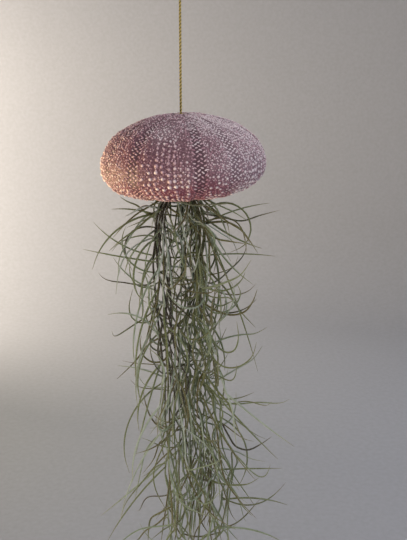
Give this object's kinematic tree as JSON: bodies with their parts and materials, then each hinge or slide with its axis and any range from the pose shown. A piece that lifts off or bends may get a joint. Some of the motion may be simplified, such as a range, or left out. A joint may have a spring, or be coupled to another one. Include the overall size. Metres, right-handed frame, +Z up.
{
  "type": "hanging air plant in a sea urchin shell",
  "caption": "Hanging ornament: a sea urchin shell on a thin cord, with a long bunch of trailing Spanish moss tied inside it and hanging out of its mouth.",
  "frame": {"origin": "the inner top of the cord's hanging loop, where a hook carries it", "axes": "+Z up along the hanging cord, -Y towards the viewer, +X to the viewer's right"},
  "size_m": [0.1094, 0.0847, 0.3552],
  "materials": {
    "shell": "matt, chalky",
    "gold_cord": "metallic thread, twisted",
    "bead": "oiled",
    "tie_wire": "dull",
    "moss": "matt, felted with fine scales"
  },
  "bodies": {
    "root": {"urchin_shell": "shell", "gold_cord": "gold_cord", "loop_knot": "gold_cord", "stopper_bead": "bead", "stopper_knot": "gold_cord", "moss_tie": "tie_wire", "moss_left_1": "moss", "moss_left_2": "moss", "moss_left_3": "moss", "moss_left_4": "moss", "moss_left_5": "moss", "moss_left_6": "moss", "moss_middle_1": "moss", "moss_middle_2": "moss", "moss_middle_3": "moss", "moss_middle_4": "moss", "moss_middle_5": "moss", "moss_middle_6": "moss", "moss_right_1": "moss", "moss_right_2": "moss", "moss_right_3": "moss", "moss_right_4": "moss", "moss_right_5": "moss", "moss_right_6": "moss"}
  },
  "joints": []
}
